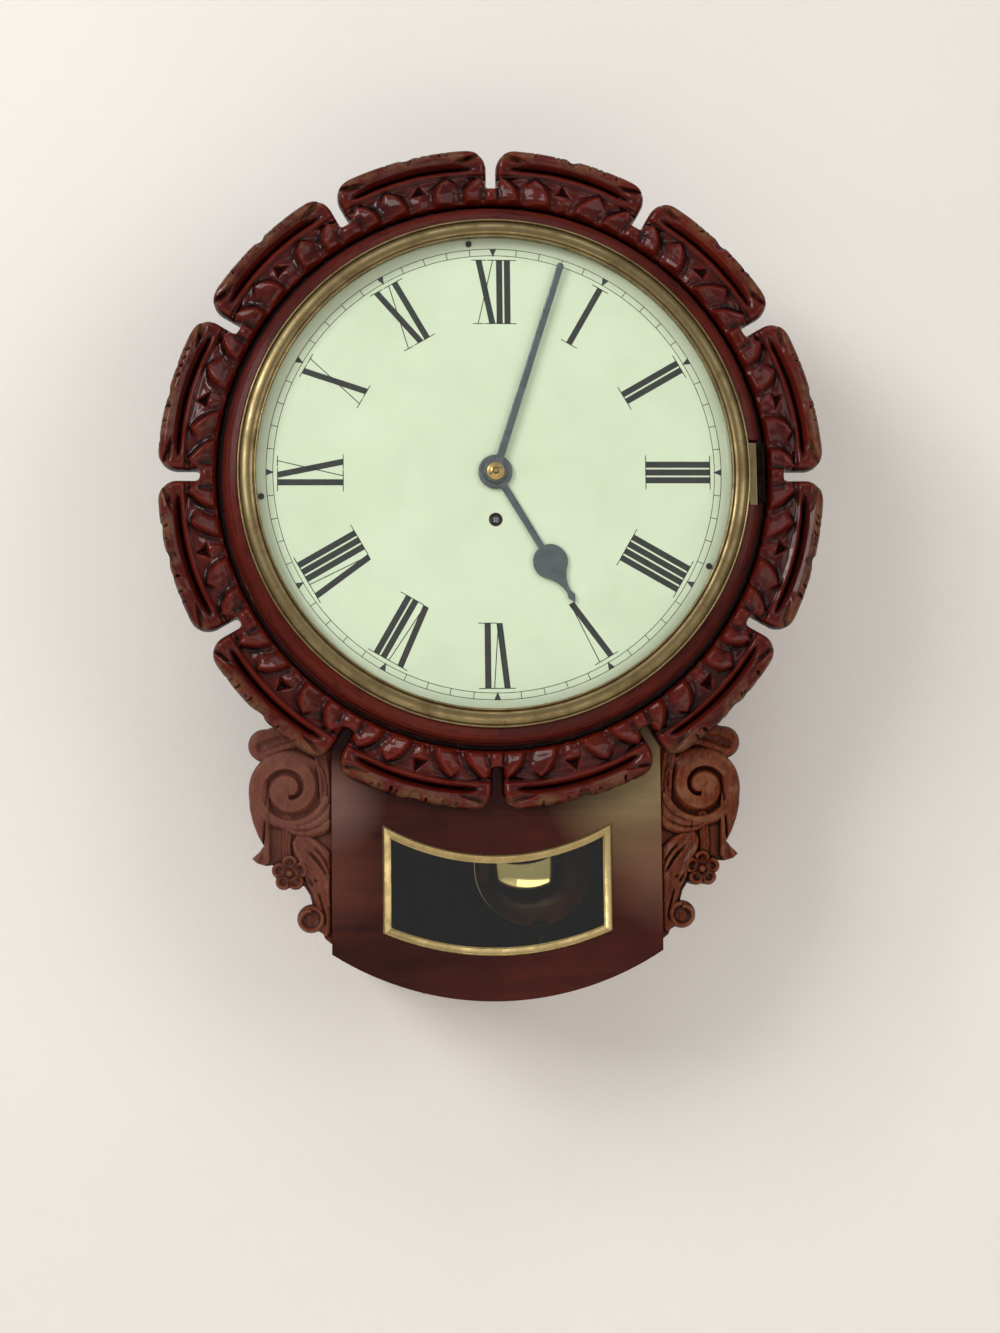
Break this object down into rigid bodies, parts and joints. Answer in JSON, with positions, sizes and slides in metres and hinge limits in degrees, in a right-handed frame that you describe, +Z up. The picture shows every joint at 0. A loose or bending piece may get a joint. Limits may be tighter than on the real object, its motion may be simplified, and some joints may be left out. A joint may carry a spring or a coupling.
{
  "type": "drop dial wall clock",
  "caption": "Round wall clock with a carved lobed wooden rim, a cream Roman dial behind a domed glass, scrolled side ears and a short trunk with a window onto the pendulum.",
  "frame": {"origin": "middle of the hanging hole, in the plane of the wall", "axes": "+Z up, +X to the right as seen from the front, +Y into the wall, so the dial faces -Y"},
  "size_m": [0.4236, 0.1657, 0.5444],
  "materials": {
    "rim_wood": "glossy red mahogany with dark grooves and worn paler edges",
    "ring_wood": "polished red-brown mahogany, rubbed paler on its crown",
    "case_wood": "aged brown mahogany veneer, satin",
    "ear_wood": "dry orange-brown carved mahogany, dull",
    "plain_wood": "unpolished pine, aged",
    "bezel_brass": "aged dull brass with bright bead lines",
    "case_brass": "aged brass",
    "movement_brass": "brushed brass",
    "pendulum_brass": "polished brass, slightly tarnished",
    "steel": "brushed steel",
    "blued_steel": "dark blued steel, glossy",
    "dial_paint": "cream-green enamel paint with black Roman numerals",
    "dial_glass": "clear domed glass",
    "window_glass": "clear flat glass"
  },
  "bodies": {
    "case": {"carved_rim": "rim_wood", "dial_surround": "ring_wood", "surround_blocks": "plain_wood", "case_pegs": "plain_wood", "top_board": "plain_wood", "left_side": "case_wood", "right_side": "case_wood", "back_board": "plain_wood", "bottom_board": "case_wood", "trunk_front": "case_wood", "window_moulding": "bezel_brass", "window_glass": "window_glass", "carved_ears": "ear_wood", "hanging_plate": "case_brass", "wood_screws": "case_brass", "side_door_hinges": "case_brass", "bottom_door_hinges": "case_brass", "bezel_hinge_plate": "bezel_brass", "bezel_catch": "bezel_brass", "dial_plate": "dial_paint", "dial_screws": "steel", "dial_feet": "movement_brass", "taper_pins": "steel", "front_plate": "movement_brass", "back_plate": "movement_brass", "plate_pillars": "movement_brass", "click_spring": "steel", "suspension_cock": "movement_brass"},
    "bezel": {"bezel": "bezel_brass", "bezel_glass": "dial_glass", "glass_ring": "bezel_brass", "bezel_hinge_leaf": "bezel_brass"},
    "side_door": {"side_door": "case_wood", "side_door_leaves": "case_brass", "side_door_knob": "case_brass"},
    "bottom_door": {"bottom_door": "case_wood", "bottom_door_leaves": "case_brass", "bottom_door_knob": "case_brass"},
    "centre": {"centre_wheel": "movement_brass", "cannon_pinion": "steel", "minute_hand": "blued_steel", "hand_collet": "movement_brass", "hand_pin": "steel"},
    "hour": {"hour_wheel": "movement_brass", "hour_hand": "blued_steel"},
    "minute_wheel": {"minute_wheel": "movement_brass"},
    "intermediate": {"intermediate_wheel": "movement_brass"},
    "third": {"third_wheel": "movement_brass"},
    "escape": {"escape_wheel": "movement_brass"},
    "barrel": {"barrel": "movement_brass", "barrel_cover": "movement_brass", "mainspring": "steel"},
    "winding": {"winding_arbor": "steel", "ratchet_wheel": "steel"},
    "click": {"click": "steel"},
    "pendulum": {"pendulum_rod": "steel", "suspension_spring": "steel"},
    "pallets": {"pallets": "steel"},
    "bob": {"pendulum_bob": "pendulum_brass"},
    "nut": {"rating_nut": "pendulum_brass"}
  },
  "joints": [
    {"name": "bezel_hinge", "type": "hinge", "parent": "case", "child": "bezel", "pos_m": [0.1675, -0.1528, -0.147], "axis": [0, 0, 1], "range_deg": [0, 100]},
    {"name": "side_door_hinge", "type": "hinge", "parent": "case", "child": "side_door", "pos_m": [0.10602, -0.02975, -0.157], "axis": [0, 0, 1], "range_deg": [0, 100]},
    {"name": "bottom_door_hinge", "type": "hinge", "parent": "case", "child": "bottom_door", "pos_m": [-0.04533, -0.0665, -0.47527], "axis": [0, 1, 0], "range_deg": [0, 95]},
    {"name": "minute_arbor", "type": "hinge", "parent": "case", "child": "centre", "pos_m": [0, -0.127, -0.147], "axis": [0, 1, 0], "continuous": true},
    {"name": "hour_pipe", "type": "hinge", "parent": "case", "child": "hour", "pos_m": [0, -0.144, -0.147], "axis": [0, 1, 0], "continuous": true},
    {"name": "minute_wheel_stud", "type": "hinge", "parent": "case", "child": "minute_wheel", "pos_m": [-0.0084, -0.139, -0.13245], "axis": [0, 1, 0], "continuous": true},
    {"name": "intermediate_arbor", "type": "hinge", "parent": "case", "child": "intermediate", "pos_m": [0.0188, -0.088, -0.15518], "axis": [0, 1, 0], "continuous": true},
    {"name": "third_arbor", "type": "hinge", "parent": "case", "child": "third", "pos_m": [-0.01058, -0.101, -0.13185], "axis": [0, 1, 0], "continuous": true},
    {"name": "escape_arbor", "type": "hinge", "parent": "case", "child": "escape", "pos_m": [0, -0.095, -0.118], "axis": [0, 1, 0], "continuous": true},
    {"name": "barrel_arbor", "type": "hinge", "parent": "case", "child": "barrel", "pos_m": [0, -0.11, -0.177], "axis": [0, 1, 0], "continuous": true},
    {"name": "winding", "type": "hinge", "parent": "case", "child": "winding", "pos_m": [0, -0.136, -0.177], "axis": [0, 1, 0], "range_deg": [0, 1440]},
    {"name": "click_stud", "type": "hinge", "parent": "case", "child": "click", "pos_m": [-0.0145, -0.136, -0.18376], "axis": [0, -1, 0], "range_deg": [0, 5]},
    {"name": "pendulum_swing", "type": "hinge", "parent": "case", "child": "pendulum", "pos_m": [0, -0.055, -0.097], "axis": [0, 1, 0], "range_deg": [0, 11]},
    {"name": "pallet_arbor", "type": "hinge", "parent": "case", "child": "pallets", "pos_m": [0, -0.095, -0.097], "axis": [0, 1, 0], "range_deg": [0, 11]},
    {"name": "bob_slide", "type": "slide", "parent": "pendulum", "child": "bob", "axis": [0.0958, 0, -0.9954], "range_m": [-0.003, 0.003]},
    {"name": "nut_screw", "type": "hinge", "parent": "bob", "child": "nut", "pos_m": [0.03284, -0.055, -0.43802], "axis": [0.0958, 0, -0.9954], "range_deg": [-1550, 1550]}
  ],
  "couplings": [
    {"joint": "hour_pipe", "follows": "minute_arbor", "ratio": 0.083333},
    {"joint": "minute_wheel_stud", "follows": "minute_arbor", "ratio": -0.33333},
    {"joint": "intermediate_arbor", "follows": "minute_arbor", "ratio": -0.13889},
    {"joint": "barrel_arbor", "follows": "minute_arbor", "ratio": 0.019841},
    {"joint": "third_arbor", "follows": "minute_arbor", "ratio": -10},
    {"joint": "escape_arbor", "follows": "minute_arbor", "ratio": 93.75},
    {"joint": "pallet_arbor", "follows": "pendulum_swing", "ratio": 1},
    {"joint": "nut_screw", "follows": "bob_slide", "rad_per_m": 8976}
  ]
}
